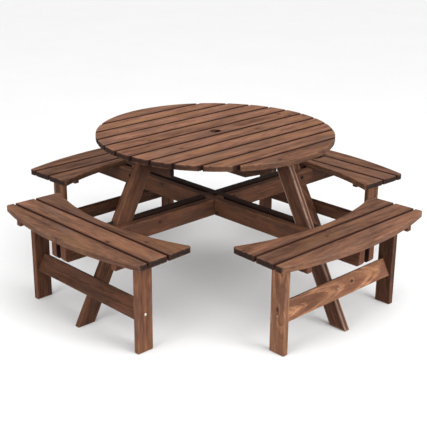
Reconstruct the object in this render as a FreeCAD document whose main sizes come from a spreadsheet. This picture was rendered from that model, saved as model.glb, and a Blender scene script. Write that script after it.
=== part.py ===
import FreeCAD, Part
import os
import re

import Sketcher

# A round slatted picnic table with four attached curved benches.
#
# Frame: millimetres, +Z up, origin on the ground under the centre of the top. The slats of the
# top run along X. The four benches stand on the axes. Each bench is drawn once in its own frame,
# where X points outwards from the centre of the table and Y runs along the bench, and is then
# turned about Z to its side.

SIDES = {"back_right": 0, "back_left": 90, "front_left": 180, "front_right": 270}
ENDS = {"a": 1, "b": -1}

DIMENSIONS = {
    # tabletop
    "table_height": 728,
    "top_radius": 554,
    "top_thick": 26,
    "top_pitch": 100.4,
    "top_gap": 10.4,
    "parasol_hole": 50,
    # boards of the frame: every thin board is as thick as a diagonal leg
    "board_thick": 27,
    "board_wide": 80,
    # bearers under the top, along Y
    "bearer_place": 158.5,
    "bearer_reach": 520,
    "bearer_full_reach": 360,
    "bearer_tip": 20,
    # blocks beside the heads of the diagonal legs
    "block_end": 145,
    "block_place": 399.5,
    "low_block_place": 386.5,
    "low_block_high": 54,
    # diagonal legs: run outwards per unit of height, and the outer corner of the foot
    "leg_slant": 0.535,
    "leg_foot": 830,
    "leg_foot_wide": 90.7,
    # double beams that carry the benches
    "beam_thick": 35,
    "beam_high": 80,
    "beam_reach": 903,
    "beam_bevel": 13,
    "beam_bolt_place": 578,
    "beam_bolt_height": 383,
    # seats
    "seat_height": 444,
    "seat_thick": 28,
    "seat_half": 463,
    "seat_flare": 0.04,
    "seat_gap": 10,
    "seat_first_gap": 704,
    "seat_last_gap": 810.5,
    "seat_inner_centre": 552,
    "seat_inner_radius": 1210,
    "seat_outer_centre": 740,
    "seat_outer_radius": 1659,
    "seat_corner": 12,
    # bench legs, battens and rails
    "post_near": 713,
    "post_middle": 361,
    "batten_high": 28,
    "batten_near": 645,
    "batten_far": 878,
    "rail_high": 84,
    "rail_low": 131,
    "rail_screw_height": 170,
    # fasteners
    "bolt_radius": 5,
    "bolt_head_radius": 8.5,
    "bolt_head_high": 6,
    "bolt_nut_high": 8,
    "bolt_recess_radius": 9.5,
    "bolt_recess_deep": 10,
    "dowel_radius": 5,
    "dowel_grip": 30,
    "lag_radius": 3.5,
    "lag_head_radius": 6.5,
    "lag_head_high": 3,
    "lag_grip": 45,
    "screw_radius": 2.5,
    "screw_head_radius": 4.5,
    "screw_head_high": 3,
    "screw_counterbore": 6,
    "screw_seat_deep": 18,
    "screw_grip": 16,
    "screw_spacing": 46,
    "seat_screw_near": 20,
    "seat_screw_far": 30,
}

SLATS_EACH_SIDE = 5
# The outermost slats are narrow, so their pairs of screws stand closer together by this share.
RIM_SLAT_SPACING = 0.5
EDGE_SLACK = 0.01

TOP_UNDER = "(table_height - top_thick)"
SEAT_UNDER = "(seat_height - seat_thick)"
BEAM_UNDER = "(seat_height - seat_thick - beam_high)"
BEAM_MIDDLE = "((board_thick + beam_thick) / 2)"
LEG_COS = "(1 / sqrt(1 + leg_slant ^ 2))"
LEG_SIN = "(leg_slant / sqrt(1 + leg_slant ^ 2))"

document = FreeCAD.newDocument("picnic_table")
sheet = document.addObject("Spreadsheet::Sheet", "dimensions")
nodes = []


def fill_sheet():
    """Each driving dimension is a plain number in the sheet, under its own alias."""
    for row, (alias, value) in enumerate(DIMENSIONS.items(), start=1):
        sheet.set("A%d" % row, alias)
        sheet.set("B%d" % row, str(value))
        sheet.setAlias("B%d" % row, alias)
    document.recompute()


def formula(text):
    """Writes an expression of plain aliases as one that other objects can be bound to."""
    def point_at_sheet(match):
        word = match.group(0)
        return "dimensions." + word if word in DIMENSIONS else word
    return re.sub(r"[a-z_]+", point_at_sheet, str(text))


def value(text):
    """The number that an expression of aliases has now."""
    return float(sheet.evalExpression(formula(text)))


def bind(thing, field, text):
    thing.setExpression(field, formula(text))


# ---------------------------------------------------------------- ways to make a piece

def origin_plane(body, role):
    return next(feature for feature in body.Origin.OriginFeatures if feature.Role == role)


def draw_outline(body, plane, outline, offset):
    """A closed outline on an origin plane, each corner bound to its two expressions."""
    sketch = body.newObject("Sketcher::SketchObject", body.Name + "_outline")
    sketch.AttachmentSupport = [(origin_plane(body, plane), "")]
    sketch.MapMode = "FlatFace"
    bind(sketch, "AttachmentOffset.Base.z", offset)
    corners = [FreeCAD.Vector(value(x), value(y), 0) for x, y in outline]
    count = len(corners)
    for index in range(count):
        sketch.addGeometry(Part.LineSegment(corners[index], corners[(index + 1) % count]), False)
    for index in range(count):
        sketch.addConstraint(Sketcher.Constraint("Coincident", index, 2, (index + 1) % count, 1))
    for index, (x, y) in enumerate(outline):
        corner = corners[index]
        for direction, text, start in (("DistanceX", x, corner.x), ("DistanceY", y, corner.y)):
            number = sketch.addConstraint(Sketcher.Constraint(direction, -1, 1, index, 1, start))
            bind(sketch, "Constraints[%d]" % number, text)
    return sketch


def board(name, plane, outline, thick, middle="0"):
    """A flat piece: an outline on a plane through the board's middle, padded both ways."""
    body = document.addObject("PartDesign::Body", name)
    # The XZ plane faces -Y, so a distance along +Y is a negative offset there.
    offset = "-(%s)" % middle if plane == "XZ_Plane" else middle
    sketch = draw_outline(body, plane, outline, offset)
    pad = body.newObject("PartDesign::Pad", name + "_pad")
    pad.Profile = sketch
    pad.SideType = "Symmetric"
    bind(pad, "Length", thick)
    body.Tip = pad
    return body


def rectangle(left, right, low, high):
    return [(left, low), (right, low), (right, high), (left, high)]


def cylinder(name, radius, height, x, y, z):
    tool = document.addObject("Part::Cylinder", name)
    bind(tool, "Radius", radius)
    bind(tool, "Height", height)
    bind(tool, "Placement.Base.x", x)
    bind(tool, "Placement.Base.y", y)
    bind(tool, "Placement.Base.z", z)
    return tool


def combine(kind, name, base, tool):
    result = document.addObject("Part::" + kind, name)
    result.Base = base
    result.Tool = tool
    return result


def finish(piece, label, turn=0):
    """Makes a piece one of the table's sub-parts, turned about Z to its side."""
    piece.Label = label
    piece.Placement = FreeCAD.Placement(FreeCAD.Vector(), FreeCAD.Rotation(FreeCAD.Vector(0, 0, 1), turn))
    nodes.append(piece)


# ---------------------------------------------------------------- fasteners and their holes

def turned(steps, start, direction):
    """A round solid along direction: steps are (radius, from, to) measured from start."""
    solids = []
    for radius, near, far in steps:
        foot = start + direction * near
        solids.append(Part.makeCylinder(radius, far - near, foot, direction))
    return solids[0].multiFuse(solids[1:]).removeSplitter() if len(solids) > 1 else solids[0]


def group(name, shapes):
    feature = document.addObject("Part::Feature", name)
    feature.Shape = Part.makeCompound(shapes)
    return feature


def upward_screws(places, under):
    """Screws driven up into slats whose underside is at the given height, and their holes."""
    head_low = under - value("screw_seat_deep")
    neck = value("screw_head_high")
    tip = value("screw_seat_deep + screw_grip")
    up = FreeCAD.Vector(0, 0, 1)
    head = (value("screw_head_radius"), 0, neck)
    shank = (value("screw_radius"), neck, tip)
    counterbore = (value("screw_counterbore"), -value("beam_high"), neck)
    screws = []
    holes = []
    for x, y in places:
        start = FreeCAD.Vector(x, y, head_low)
        screws.append(turned([head, shank], start, up))
        holes.append(turned([counterbore, shank], start, up))
    return screws, holes


def top_screw_places():
    """Two screws where each slat crosses a bearer."""
    pitch = value("top_pitch")
    half_spacing = value("screw_spacing / 2")
    bearer = value("bearer_place")
    places = []
    for index in range(-SLATS_EACH_SIDE, SLATS_EACH_SIDE + 1):
        share = RIM_SLAT_SPACING if abs(index) == SLATS_EACH_SIDE else 1
        for x in (-bearer, bearer):
            for shift in (-half_spacing, half_spacing):
                places.append((x, index * pitch + shift * share))
    return places


def block_screw_places():
    """Places in each head block: one pair by the middle slat and its neighbour, one pair along a slat."""
    high = value("block_place")
    low = value("low_block_place")
    near = value("board_thick")
    far = value("block_end - board_thick")
    places = [(side * high, turn * y) for side in (-1, 1) for turn in (-1, 1) for y in (near, far)]
    places += [(turn * x, side * low) for side in (-1, 1) for turn in (-1, 1) for x in (near, far)]
    return places


def seat_screw_places():
    """Screws of one bench: each slat to both battens and to both boards of the beam."""
    batten = value("post_middle - board_thick")
    beam = value(BEAM_MIDDLE)
    middle = value("(seat_first_gap + seat_last_gap) / 2")
    quarter = value("(seat_last_gap - seat_first_gap) / 4")
    inner = value("seat_first_gap - seat_screw_near")
    outer = value("seat_last_gap + seat_screw_far")
    rows = (inner, middle - quarter, middle + quarter, outer)
    return [(x, side * y) for x in rows for side in (-1, 1) for y in (beam, batten)]


def turn_all(shapes, angle):
    axis = FreeCAD.Vector(0, 0, 1)
    turned_shapes = []
    for shape in shapes:
        copy = shape.copy()
        copy.rotate(FreeCAD.Vector(), axis, angle)
        turned_shapes.append(copy)
    return turned_shapes


def frame_bolts():
    """One bench's bolt through both beam boards and the diagonal leg, and the hole it needs."""
    reach = value("board_thick / 2 + beam_thick")
    seat = reach - value("bolt_recess_deep")
    shank = value("bolt_radius")
    head = value("bolt_head_radius")
    recess = value("bolt_recess_radius")
    start = FreeCAD.Vector(value("beam_bolt_place"), 0, value("beam_bolt_height"))
    along = FreeCAD.Vector(0, 1, 0)
    bolt = turned([(head, -seat - value("bolt_nut_high"), -seat), (shank, -seat, seat),
                   (head, seat, seat + value("bolt_head_high"))], start, along)
    hole = turned([(recess, -reach, -seat), (shank, -seat, seat), (recess, seat, reach)], start, along)
    return bolt, hole


def head_dowel(place, height):
    """The dowel through a diagonal leg's head and into the blocks on both sides of it."""
    reach = value("board_thick / 2 + dowel_grip")
    start = FreeCAD.Vector(place, 0, height)
    return turned([(value("dowel_radius"), -reach, reach)], start, FreeCAD.Vector(0, 1, 0))


def bench_screws():
    """One bench's long screws: posts to rail ends, rail to diagonal leg, battens to posts."""
    lag = value("lag_radius")
    lag_head = (value("lag_head_radius"), -value("lag_head_high"), 0)
    screws = []
    post_face = value("post_middle + board_thick / 2")
    rail_middle = value("leg_foot - leg_slant * rail_screw_height + board_thick / 2")
    for side in (-1, 1):
        start = FreeCAD.Vector(rail_middle, side * post_face, value("rail_screw_height"))
        inwards = FreeCAD.Vector(0, -side, 0)
        screws.append(turned([lag_head, (lag, 0, value("board_thick + lag_grip"))], start, inwards))
    cos, sin = value(LEG_COS), value(LEG_SIN)
    thick, half = value("board_thick"), value("rail_high / 2")
    rail_foot = FreeCAD.Vector(value("leg_foot - leg_slant * rail_low"), 0, value("rail_low"))
    start = rail_foot + FreeCAD.Vector(thick * cos - half * sin, 0, thick * sin + half * cos)
    inwards = FreeCAD.Vector(-cos, 0, -sin)
    screws.append(turned([lag_head, (lag, 0, value("board_thick + lag_grip"))], start, inwards))
    small_head = (value("screw_head_radius"), 0, value("screw_head_high"))
    small = (value("screw_radius"), value("screw_head_high"), value("board_thick + screw_grip"))
    batten_face = value("post_middle - board_thick * 3 / 2")
    post_axis = value("post_near + board_wide / 2")
    height = value(SEAT_UNDER + " - batten_high / 2")
    for side in (-1, 1):
        for shift in (-value("screw_spacing / 4"), value("screw_spacing / 4")):
            start = FreeCAD.Vector(post_axis + shift, side * batten_face, height)
            screws.append(turned([small_head, small], start, FreeCAD.Vector(0, side, 0)))
    return screws


# ---------------------------------------------------------------- tabletop

def make_top(drilling):
    """Slats along X, trimmed to one round outline, with the parasol hole in the middle one."""
    disc = cylinder("top_disc", "top_radius", "top_thick", "0", "0", TOP_UNDER)
    parasol = cylinder("parasol_drill", "parasol_hole / 2", "top_thick", "0", "0", TOP_UNDER)
    for index in range(-SLATS_EACH_SIDE, SLATS_EACH_SIDE + 1):
        name = "top_slat_%02d" % (index + SLATS_EACH_SIDE + 1)
        low = "(%d * top_pitch - (top_pitch - top_gap) / 2)" % index
        high = "(%d * top_pitch + (top_pitch - top_gap) / 2)" % index
        if index == -SLATS_EACH_SIDE:
            low = "(-top_radius)"
        if index == SLATS_EACH_SIDE:
            high = "(top_radius)"
        strip = document.addObject("Part::Box", name + "_strip")
        bind(strip, "Length", "2 * top_radius")
        bind(strip, "Width", high + " - " + low)
        bind(strip, "Height", "top_thick")
        bind(strip, "Placement.Base.x", "-top_radius")
        bind(strip, "Placement.Base.y", low)
        bind(strip, "Placement.Base.z", TOP_UNDER)
        piece = combine("Common", name + "_round", strip, disc)
        if index == 0:
            piece = combine("Cut", name + "_open", piece, parasol)
        finish(combine("Cut", name, piece, drilling), name)


def make_bearers(drilling):
    """Boards on edge across all the slats, their lower edges rising towards both tips."""
    low = TOP_UNDER + " - board_wide"
    tip = TOP_UNDER + " - bearer_tip"
    outline = [("-bearer_full_reach", low), ("bearer_full_reach", low), ("bearer_reach", tip),
               ("bearer_reach", TOP_UNDER), ("-bearer_reach", TOP_UNDER), ("-bearer_reach", tip)]
    for label, place in (("bearer_left", "-bearer_place"), ("bearer_right", "bearer_place")):
        plain = board(label + "_board", "YZ_Plane", outline, "board_thick", place)
        finish(combine("Cut", label, plain, drilling), label)


def make_head_blocks(side, turn, place, high, drilling):
    """The two blocks that stand out sideways from a diagonal leg's head, under the slats."""
    outline = rectangle(place + " - board_thick / 2", place + " + board_thick / 2",
                        TOP_UNDER + " - " + high, TOP_UNDER)
    blocks = []
    for end, sign in ENDS.items():
        blocks.append(board("head_block_%s_%s" % (side, end), "XZ_Plane", outline,
                            "block_end - board_thick / 2",
                            "%d * (block_end + board_thick / 2) / 2" % sign))
    pair = document.addObject("Part::Compound", "head_block_pair_" + side)
    pair.Links = blocks
    finish(combine("Cut", "head_blocks_" + side, pair, drilling), "head_blocks_" + side, turn)


# ---------------------------------------------------------------- lower frame

def make_diagonal_leg(side, turn, drilling):
    """One slanted board from the ground to the underside of the top, cut level at both ends."""
    outline = [("leg_foot - leg_foot_wide", "0"), ("leg_foot", "0"),
               ("leg_foot - leg_slant * " + TOP_UNDER, TOP_UNDER),
               ("leg_foot - leg_foot_wide - leg_slant * " + TOP_UNDER, TOP_UNDER)]
    plain = board("diagonal_board_" + side, "XZ_Plane", outline, "board_thick")
    finish(combine("Cut", "diagonal_leg_" + side, plain, drilling), "diagonal_leg_" + side, turn)


def beam_outline(notched_at_top):
    """A beam board seen from its side: bevelled lower corners and two half-lap notches."""
    top, low = SEAT_UNDER, BEAM_UNDER
    middle = "(seat_height - seat_thick - beam_high / 2)"
    near, far = "board_thick / 2", "board_thick / 2 + beam_thick"
    bottom_edge = [("-beam_reach + beam_bevel", low), ("beam_reach - beam_bevel", low)]
    right_end = [("beam_reach", low + " + beam_bevel"), ("beam_reach", top)]
    left_end = [("-beam_reach", top), ("-beam_reach", low + " + beam_bevel")]
    edge = top if notched_at_top else low
    notches = []
    for left, right in ((near, far), ("-(%s)" % far, "-(%s)" % near)):
        notches += [(right, edge), (right, middle), (left, middle), (left, edge)]
    if notched_at_top:
        return bottom_edge + right_end + notches + left_end
    return bottom_edge[:1] + notches[::-1] + bottom_edge[1:] + right_end + left_end


def make_beams(drilling):
    """Two double beams, one along X and one along Y, half-lapped where they cross."""
    for axis, plane, notched_at_top in (("x", "XZ_Plane", True), ("y", "YZ_Plane", False)):
        for end, sign in ENDS.items():
            label = "beam_along_%s_%s" % (axis, end)
            plain = board(label + "_board", plane, beam_outline(notched_at_top), "beam_thick",
                          "%d * %s" % (sign, BEAM_MIDDLE))
            finish(combine("Cut", label, plain, drilling), label)


# ---------------------------------------------------------------- benches

def seat_strip(name, near, far):
    """A straight strip across the bench whose ends follow the seat's slight flare."""
    def end(place):
        return "seat_half + seat_flare * (%s - seat_first_gap)" % place
    outline = [(near, "-(%s)" % end(near)), (far, "-(%s)" % end(far)), (far, end(far)), (near, end(near))]
    return board(name, "XY_Plane", outline, "seat_thick", "seat_height - seat_thick / 2")


def round_end_corners(name, base, at_far_edge):
    """Rounds the two upright corners where the seat's curved edge meets its ends."""
    document.recompute()
    edges = base.Shape.Edges
    thick = value("seat_thick")
    upright = [number for number, edge in enumerate(edges, start=1)
               if abs(edge.BoundBox.ZLength - thick) < EDGE_SLACK and abs(edge.Length - thick) < EDGE_SLACK]
    ordered = sorted(upright, key=lambda number: edges[number - 1].BoundBox.XMin, reverse=at_far_edge)
    radius = value("seat_corner")
    rounded = document.addObject("Part::Fillet", name)
    rounded.Base = base
    rounded.Edges = [(number, radius, radius) for number in ordered[:2]]
    return rounded


def make_seat(side, turn, drilling):
    """Three boards: the first cut to the inner arc, the last to the outer arc."""
    inner_arc = cylinder("inner_arc_" + side, "seat_inner_radius", "seat_thick",
                         "-seat_inner_centre", "0", SEAT_UNDER)
    outer_arc = cylinder("outer_arc_" + side, "seat_outer_radius", "seat_thick",
                         "-seat_outer_centre", "0", SEAT_UNDER)
    half_gap = "seat_gap / 2"
    inner = seat_strip("inner_strip_" + side, "(seat_first_gap - 2 * board_wide)",
                       "(seat_first_gap - %s)" % half_gap)
    middle = seat_strip("middle_strip_" + side, "(seat_first_gap + %s)" % half_gap,
                        "(seat_last_gap - %s)" % half_gap)
    outer = seat_strip("outer_strip_" + side, "(seat_last_gap + %s)" % half_gap,
                       "(seat_last_gap + 2 * board_wide)")
    inner = combine("Cut", "inner_curved_" + side, inner, inner_arc)
    outer = combine("Common", "outer_curved_" + side, outer, outer_arc)
    inner = round_end_corners("inner_rounded_" + side, inner, False)
    outer = round_end_corners("outer_rounded_" + side, outer, True)
    for place, piece in (("inner", inner), ("middle", middle), ("outer", outer)):
        label = "seat_%s_%s" % (place, side)
        finish(combine("Cut", label, piece, drilling), label, turn)


def make_bench_supports(side, turn, drilling):
    """Two upright posts, a batten on each post's inner face, and the rail between the posts."""
    post = rectangle("post_near", "post_near + board_wide", "0", SEAT_UNDER)
    batten = rectangle("batten_near", "batten_far", SEAT_UNDER + " - batten_high", SEAT_UNDER)
    for end, sign in ENDS.items():
        for label, outline, middle in (("bench_leg", post, "post_middle"),
                                       ("seat_batten", batten, "(post_middle - board_thick)")):
            name = "%s_%s_%s" % (label, side, end)
            plain = board(name + "_board", "XZ_Plane", outline, "board_thick", "%d * %s" % (sign, middle))
            finish(combine("Cut", name, plain, drilling), name, turn)
    make_rail(side, turn, drilling)


def make_rail(side, turn, drilling):
    """A board lying flat against the outer edge of the diagonal leg, tilted as the leg is."""
    low = ("(leg_foot - leg_slant * rail_low)", "rail_low")
    out = ("board_thick * " + LEG_COS, "board_thick * " + LEG_SIN)
    rise = ("-rail_high * " + LEG_SIN, "rail_high * " + LEG_COS)
    outline = [low,
               (low[0] + " + " + out[0], low[1] + " + " + out[1]),
               (low[0] + " + " + out[0] + " + " + rise[0], low[1] + " + " + out[1] + " + " + rise[1]),
               (low[0] + " + " + rise[0], low[1] + " + " + rise[1])]
    plain = board("rail_board_" + side, "XZ_Plane", outline, "2 * post_middle - board_thick")
    finish(combine("Cut", "bench_rail_" + side, plain, drilling), "bench_rail_" + side, turn)


# ---------------------------------------------------------------- the whole table

def make_table():
    top_screws, top_holes = upward_screws(top_screw_places() + block_screw_places(), value(TOP_UNDER))
    seat_screws, seat_holes = upward_screws(seat_screw_places(), value(SEAT_UNDER))
    bolt, bolt_hole = frame_bolts()
    long_screws = bench_screws()
    high_dowel = head_dowel(value("block_place"), value(TOP_UNDER + " - board_wide / 2"))
    low_dowel = head_dowel(value("low_block_place"), value(TOP_UNDER + " - low_block_high / 2"))

    top_drilling = group("top_drilling", top_holes)
    make_top(top_drilling)
    make_bearers(top_drilling)

    all_seat_holes = [hole for turn in SIDES.values() for hole in turn_all(seat_holes + [bolt_hole], turn)]
    make_beams(group("beam_drilling", all_seat_holes))
    bench_drilling = group("bench_drilling", seat_holes + long_screws)
    bolts, screws, slat_screws = [], [], list(top_screws)
    for side, turn in SIDES.items():
        along_slats = turn in (0, 180)
        dowel = high_dowel if along_slats else low_dowel
        block_holes = turn_all(top_holes, -turn) + [dowel]
        block_drilling = group("block_drilling_" + side, block_holes)
        leg_drilling = group("leg_drilling_" + side, [bolt_hole, dowel] + long_screws)
        make_head_blocks(side, turn, "block_place" if along_slats else "low_block_place",
                         "board_wide" if along_slats else "low_block_high", block_drilling)
        make_diagonal_leg(side, turn, leg_drilling)
        make_seat(side, turn, bench_drilling)
        make_bench_supports(side, turn, bench_drilling)
        bolts += turn_all([bolt, dowel], turn)
        screws += turn_all(long_screws, turn)
        slat_screws += turn_all(seat_screws, turn)

    finish(group("frame_bolts", bolts), "frame_bolts")
    finish(group("bench_screws", screws), "bench_screws")
    finish(group("slat_screws", slat_screws), "slat_screws")


def check_document():
    """Stops on any failed object or any sub-part that isn't a valid solid."""
    document.recompute()
    for thing in document.Objects:
        if "Invalid" in thing.State or "Error" in thing.State:
            raise RuntimeError("failed object: " + thing.Label)
    for node in nodes:
        if node.Shape.isNull() or not node.Shape.isValid() or not node.Shape.Solids:
            raise RuntimeError("bad shape: " + node.Label)


def write_parts():
    os.makedirs("parts", exist_ok=True)
    for node in nodes:
        node.Shape.exportStep("parts/%s.step" % node.Label)
    print(len(nodes), "sub-parts written")


fill_sheet()
make_table()
check_document()
write_parts()
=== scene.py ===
import math
import random

import bmesh
import bpy
import numpy as np
from mathutils import Matrix, Vector, noise


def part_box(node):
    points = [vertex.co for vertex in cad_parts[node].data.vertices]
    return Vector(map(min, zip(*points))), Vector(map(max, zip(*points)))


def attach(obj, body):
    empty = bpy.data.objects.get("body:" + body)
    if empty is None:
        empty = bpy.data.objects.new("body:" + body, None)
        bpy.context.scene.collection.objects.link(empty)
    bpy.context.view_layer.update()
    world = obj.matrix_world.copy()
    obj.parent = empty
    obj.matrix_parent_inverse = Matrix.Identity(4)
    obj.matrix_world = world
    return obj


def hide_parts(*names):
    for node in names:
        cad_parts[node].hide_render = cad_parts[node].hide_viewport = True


# A round slatted picnic table with four attached curved benches, in metres.
# Every board is rebuilt as a solid with worn, rounded arrises, and every fastener as a turned piece with
# a driven head. All wood shares one solid-grain shader, so that growth rings run through a board and
# show on its ends.

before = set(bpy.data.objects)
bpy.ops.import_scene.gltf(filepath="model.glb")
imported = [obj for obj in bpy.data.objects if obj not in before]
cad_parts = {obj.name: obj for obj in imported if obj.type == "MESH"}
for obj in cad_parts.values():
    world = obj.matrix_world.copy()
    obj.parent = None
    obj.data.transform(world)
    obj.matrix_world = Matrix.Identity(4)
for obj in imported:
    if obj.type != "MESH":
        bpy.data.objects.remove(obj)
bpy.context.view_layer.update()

# Without a seed of its own, mathutils noise takes one from the clock, and each run would differ.
SEED = 11
noise.seed_set(SEED)

# Side of each bench, as its outward direction from the centre of the table.
SIDES = {"back_right": (1, 0), "back_left": (0, 1), "front_left": (-1, 0), "front_right": (0, -1)}
ENDS = {"a": 1, "b": -1}
ALONG_X, ALONG_Y, UP = Vector((1, 0, 0)), Vector((0, 1, 0)), Vector((0, 0, 1))

# Run over rise of the diagonal legs, and of the bench rails, which tilt with them.
LEG_SLANT = 0.535
# The arcs of a bench: where the centre lies on the bench's outward axis, and the radius.
SEAT_INNER_CENTRE, SEAT_INNER_RADIUS = -0.552, 1.210
SEAT_OUTER_CENTRE, SEAT_OUTER_RADIUS = -0.740, 1.659
# Half the length of a bench at its first gap, and how much it grows with each metre outwards.
SEAT_HALF, SEAT_FLARE = 0.463, 0.04
SEAT_CORNER = 0.012
BEAM_BEVEL = 0.013
PARASOL_HOLE = 0.025

# How round an arris is, how far each face stays inside its CAD solid, how uneven the faces are, and how
# wide the strip is over which wear fades.
ARRIS = 0.0026
SHRINK = 0.00035
WOBBLE, WOBBLE_SCALE = 0.0003, 9
WEAR_WIDTH = 0.007
# Spacing of points along straight edges and arcs, and the distance below which two are the same.
RUN = 0.045
ARC_STEP = 0.012
SAME_PLACE = 1e-6
MILLIMETRE = 0.001


# -------- meshes and objects

def new_object(name, data):
    made = bpy.data.objects.new(name, data)
    bpy.context.scene.collection.objects.link(made)
    return made


def object_of(name, bm):
    """Turns a bmesh into an object of the scene, and frees it."""
    mesh = bpy.data.meshes.new(name)
    bm.to_mesh(mesh)
    bm.free()
    return new_object(name, mesh)


def smooth_piece(name, bm, node):
    """Turns a bmesh into a smooth piece that stands for a CAD node."""
    piece = object_of(name, bm)
    for polygon in piece.data.polygons:
        polygon.use_smooth = True
    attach(piece, "root")
    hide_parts(node)
    return piece


def dress(piece, material):
    piece.data.materials.clear()
    piece.data.materials.append(material)


# -------- outlines in a board's own plane

class Station:
    """One point of an outline that knows where it goes when the outline is drawn in by some distance.
    A point of a rounded corner has the centre of the rounding and its own direction from there."""

    def __init__(self, sharp, miter, worn=0.0, centre=None, direction=None, radius=0.0):
        self.sharp = Vector(sharp)
        self.miter = miter
        self.worn = worn
        self.centre = centre
        self.direction = direction
        self.radius = radius
        self.limit = math.inf

    def at(self, inset):
        inset = min(inset, self.limit)
        if inset < self.radius:
            return self.centre + self.direction * (self.radius - inset)
        return self.sharp + self.miter * inset


def inward(edge):
    """The inward normal of an edge of an outline that runs anticlockwise."""
    return Vector((-edge.y, edge.x)).normalized()


# A miter is drawn out no further than for a corner with this cosine of half its turn.
LEAST_MITER_COSINE = 0.2
# How worn the inner corners of notches are, the corners that are arrises, and wider rounded ones.
NOTCH_WORN, ARRIS_WORN, ROUNDED_WORN = 0.5, 1.0, 0.4


def stations(corners):
    """Rounds the corners of an anticlockwise outline. corners are (x, y, radius, is_arc_point)."""
    corners = clear_of_rounding(corners)
    result = []
    tips = []
    for index, corner in enumerate(corners):
        radius, on_arc = corner[2:]
        here, normal_in, normal_out, convex = corner_shape(corners, index)
        bisector = (normal_in + normal_out).normalized()
        miter = bisector / max(bisector.dot(normal_in), LEAST_MITER_COSINE)
        if on_arc or not convex:
            result.append(Station(here, miter, 0.0 if on_arc else NOTCH_WORN))
        else:
            result += rounded_corner(here, miter, normal_in, normal_out, radius)
            tips.append((here, half_angle_tangent(normal_in, normal_out)))
    result = with_runs(result)
    limit_insets(result, tips)
    return result


def corner_shape(corners, index):
    """A corner's place, the inward normals of the edges before and after it, and if it is convex."""
    before, here, after = (Vector(corners[i % len(corners)][:2]) for i in (index - 1, index, index + 1))
    return here, inward(here - before), inward(after - here), (here - before).cross(after - here) > 0


def half_angle_tangent(normal_in, normal_out):
    """The tangent of half the angle inside a convex corner."""
    return math.tan((math.pi - normal_in.angle(normal_out)) / 2)


def clear_of_rounding(corners):
    """Leaves out the arc points that a rounded corner next to them would cut away."""
    cuts = []
    for index, (_, _, radius, on_arc) in enumerate(corners):
        here, normal_in, normal_out, convex = corner_shape(corners, index)
        if convex and not on_arc:
            cuts.append((here, 1.25 * (radius / half_angle_tangent(normal_in, normal_out))))
    return [corner for corner in corners
            if not corner[3] or all((Vector(corner[:2]) - here).length > cut for here, cut in cuts)]


def limit_insets(made, tips):
    """Keeps every point from being drawn in past the line that halves a corner near it."""
    for tip, tangent in tips:
        distances = [(station.sharp - tip).length for station in made]
        nearest = min(distance for distance in distances if distance > SAME_PLACE)
        for station, distance in zip(made, distances):
            reach = 0.95 * distance if distance > SAME_PLACE else 0.9 * nearest
            station.limit = min(station.limit, reach * tangent)


def rounded_corner(sharp, miter, normal_in, normal_out, radius):
    is_arris = radius <= 2 * ARRIS
    steps = 3 if is_arris else 6
    centre = sharp + miter * radius
    made = []
    for step in range(steps + 1):
        part = step / steps
        direction = -(normal_in * (1 - part) + normal_out * part).normalized()
        worn = ARRIS_WORN if is_arris else ROUNDED_WORN
        made.append(Station(sharp, miter, worn, centre, direction, radius))
    return made


def with_runs(made):
    """Adds points along the straight runs, close to each corner and then at even spacing."""
    result = []
    count = len(made)
    for index, station in enumerate(made):
        result.append(station)
        following = made[(index + 1) % count]
        start, end = station.at(0), following.at(0)
        length = (end - start).length
        if length < 3 * WEAR_WIDTH:
            continue
        normal = inward(end - start)
        along = (end - start) / length
        inner = length - 2 * WEAR_WIDTH
        pieces = max(1, round(inner / RUN))
        for step in range(pieces + 1):
            place = start + along * (WEAR_WIDTH + inner * step / pieces)
            result.append(Station(place, normal))
    return result


def arc_corners(centre, radius, start, end):
    """Points of an arc about a centre, its two ends excluded."""
    steps = max(2, math.ceil(abs(end - start) * radius / ARC_STEP))
    made = []
    for step in range(1, steps):
        angle = start + (end - start) * step / steps
        made.append((centre[0] + radius * math.cos(angle), centre[1] + radius * math.sin(angle), 0, True))
    return made


def squared(points):
    """Corners of an outline that are rounded no more than an arris."""
    return [(x, y, ARRIS, False) for x, y in points]


def rectangle(low_x, high_x, low_y, high_y):
    return squared([(low_x, low_y), (high_x, low_y), (high_x, high_y), (low_x, high_y)])


# -------- a board as a solid

def rings(thick):
    """Height and inset of each ring from the low face to the high face, and how worn it is."""
    quarter = [math.radians(a) for a in (0, 30, 60, 90)]
    low = [(0.0, ARRIS + WEAR_WIDTH, 0.0)]
    low += [(ARRIS * (1 - math.sin(a)), ARRIS * (1 - math.cos(a)), 1.0) for a in reversed(quarter)]
    low += [(ARRIS + WEAR_WIDTH, 0.0, 0.0)]
    return low + [(thick - height, inset, worn) for height, inset, worn in reversed(low)]


def gap_shade(station, inset, shaded_edges):
    """How much painted shade a point gets, if it lies on a straight edge at one of the shaded edges, each
    given as (axis, value).
    """
    if inset >= ARRIS or not any(abs(station.sharp[axis] - value) < ARRIS for axis, value in shaded_edges):
        return 0.0
    return 1.0 if inset < ARRIS * 0.2 else 0.7


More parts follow.
